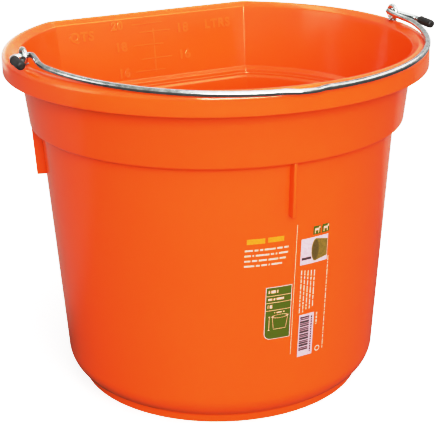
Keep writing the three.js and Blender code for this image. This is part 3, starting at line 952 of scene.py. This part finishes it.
def bail_leg(side, tip_out, tip_droop):
    """The line of one leg from its tip to the start of the round."""
    tip_x = eye_out + tip_out
    neck_x = eye_out - neck_inset
    corner = Vector((tip_x, 0, -tip_droop))
    neck = Vector((neck_x, 0, tip_droop * neck_inset / tip_out))
    along = (corner - neck).normalized() * wire_bend
    round_x = math.sqrt(bail_reach**2 - neck_length**2)
    end = Vector((round_x, neck_length, 0))
    tangent = Vector((neck_length, -round_x, 0)).normalized() * neck_length / 3
    halfway = Vector((neck_x + 0.001, neck_length / 2, 0))
    stretches = [
        ([Vector((tip_x, tip_length, -tip_droop)), Vector((tip_x, wire_bend, -tip_droop))], 6),
        ([Vector((tip_x, wire_bend, -tip_droop)), corner, corner - along], 10),
        ([corner - along, neck + along], 6),
        ([neck + along, neck, neck + Vector((0, wire_bend, 0))], 12),
        ([neck + Vector((0, wire_bend, 0)), halfway, end + tangent, end], 24),
    ]
    line = []
    for controls, steps in stretches:
        line += [blend(controls, i / steps) for i in range(steps)]
    return [bail_point(side * p.x, p.y, p.z) for p in line]


round_start = math.asin(neck_length / bail_reach)
round_steps = 240
bail_line = bail_leg(1, *right_tip)
thickness = [1.0] * len(bail_line)
for step in range(round_steps + 1):
    angle = round_start + (math.pi - 2 * round_start) * step / round_steps
    across = bail_reach * (angle - math.pi / 2 - notch_turn)
    pinch = math.exp(-((across / notch_half_width) ** 4))
    reach = bail_reach + notch_depth * pinch
    bail_line.append(bail_point(reach * math.cos(angle), reach * math.sin(angle), 0))
    thickness.append(1.0 - 0.1 * pinch)
left_leg = bail_leg(-1, *left_tip)
left_leg.reverse()
bail_line += left_leg
thickness += [1.0] * len(left_leg)

centre_line = bpy.data.curves.new("bail_centre_line", "CURVE")
centre_line.dimensions = "3D"
centre_line.bevel_depth = wire_radius
centre_line.bevel_resolution = 6
centre_line.use_fill_caps = True
spline = centre_line.splines.new("POLY")
spline.points.add(len(bail_line) - 1)
for point, place_of, thick in zip(spline.points, bail_line, thickness):
    point.co = (*place_of, 1)
    point.radius = thick
bail = bpy.data.objects.new("bail_wire_steel", centre_line)
bpy.context.scene.collection.objects.link(bail)
bpy.ops.object.select_all(action="DESELECT")
bail.select_set(True)
bpy.context.view_layer.objects.active = bail
bpy.ops.object.convert(target="MESH")
bail = bpy.context.object
bpy.ops.object.mode_set(mode="EDIT")
bpy.ops.mesh.select_all(action="SELECT")
bpy.ops.mesh.remove_doubles(threshold=1e-6)
bpy.ops.mesh.normals_make_consistent(inside=False)
bpy.ops.object.mode_set(mode="OBJECT")
bpy.ops.object.shade_smooth_by_angle(angle=math.radians(50))

drawn_wire = zinc.copy()
drawn_wire.name = "drawn_wire"
wire_tint = next(n for n in drawn_wire.node_tree.nodes if n.type == "VALTORGB")
wire_tint.color_ramp.elements[0].color = (0.34, 0.35, 0.34, 1)
wire_tint.color_ramp.elements[1].color = (0.5, 0.52, 0.51, 1)
bail.data.materials.clear()
bail.data.materials.append(drawn_wire)
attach(bail, "bail")
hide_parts("bail_wire")

# ---- End caps ----
# Soft black caps pushed over the tips of the wire, each with a rounded nose and a rolled mouth.
# The right tip stands further out and lower than the left one.
rubber = bpy.data.materials.new("black_rubber")
rubber.use_nodes = True
nodes, links = rubber.node_tree.nodes, rubber.node_tree.links
shader = nodes["Principled BSDF"]
place = nodes.new("ShaderNodeTexCoord")
grain = nodes.new("ShaderNodeTexNoise")
grain.inputs["Scale"].default_value = 420
grain.inputs["Detail"].default_value = 4
links.new(place.outputs["Object"], grain.inputs["Vector"])
dust = nodes.new("ShaderNodeValToRGB")
dust.color_ramp.elements[0].position = 0.4
dust.color_ramp.elements[0].color = (0.010, 0.008, 0.007, 1)
dust.color_ramp.elements[1].position = 0.75
dust.color_ramp.elements[1].color = (0.035, 0.028, 0.024, 1)
links.new(grain.outputs["Fac"], dust.inputs["Fac"])
links.new(dust.outputs["Color"], shader.inputs["Base Color"])
rub = nodes.new("ShaderNodeMapRange")
rub.inputs["To Min"].default_value = 0.32
rub.inputs["To Max"].default_value = 0.55
links.new(grain.outputs["Fac"], rub.inputs["Value"])
links.new(rub.outputs["Result"], shader.inputs["Roughness"])
rubber_bump = nodes.new("ShaderNodeBump")
rubber_bump.inputs["Strength"].default_value = 0.3
rubber_bump.inputs["Distance"].default_value = 0.0002
links.new(grain.outputs["Fac"], rubber_bump.inputs["Height"])
links.new(rubber_bump.outputs["Normal"], shader.inputs["Normal"])

cap_radius = 0.0039
cap_bore = wire_radius + 0.0002
cap_length = 0.0175
cap_start = 0.0085
cap_bore_depth = 0.0145
for side, word, (tip_out, tip_droop) in ((-1, "left", left_tip), (1, "right", right_tip)):
    cap = trace(
        word + "_end_cap_rubber",
        rounded(
            [
                (0, cap_bore_depth, 0),
                (cap_bore, cap_bore_depth, 0.0005),
                (cap_bore, 0.0004, 0.0005),
                (cap_bore + 0.0003, 0, 0.0002),
                (cap_radius, 0, 0.0004),
                (cap_radius, 0.0014, 0.0003),
                (cap_radius - 0.0003, 0.0017, 0.0002),
                (cap_radius - 0.0001, cap_length * 0.6, 0),
                (cap_radius - 0.0003, cap_length, 0.0022),
                (0, cap_length, 0),
            ],
            steps=6,
        ),
    )
    spin_round(cap, 48)
    bpy.ops.object.shade_smooth_by_angle(angle=math.radians(40))
    cap.rotation_euler = (math.radians(90) + bail_slope, 0, 0)
    cap.location = bail_point(side * (eye_out + tip_out), cap_start, -tip_droop)
    bpy.ops.object.transform_apply(location=True, rotation=True, scale=True)
    cap.data.materials.append(rubber)
    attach(cap, "bail")
    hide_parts(word + "_end_cap")
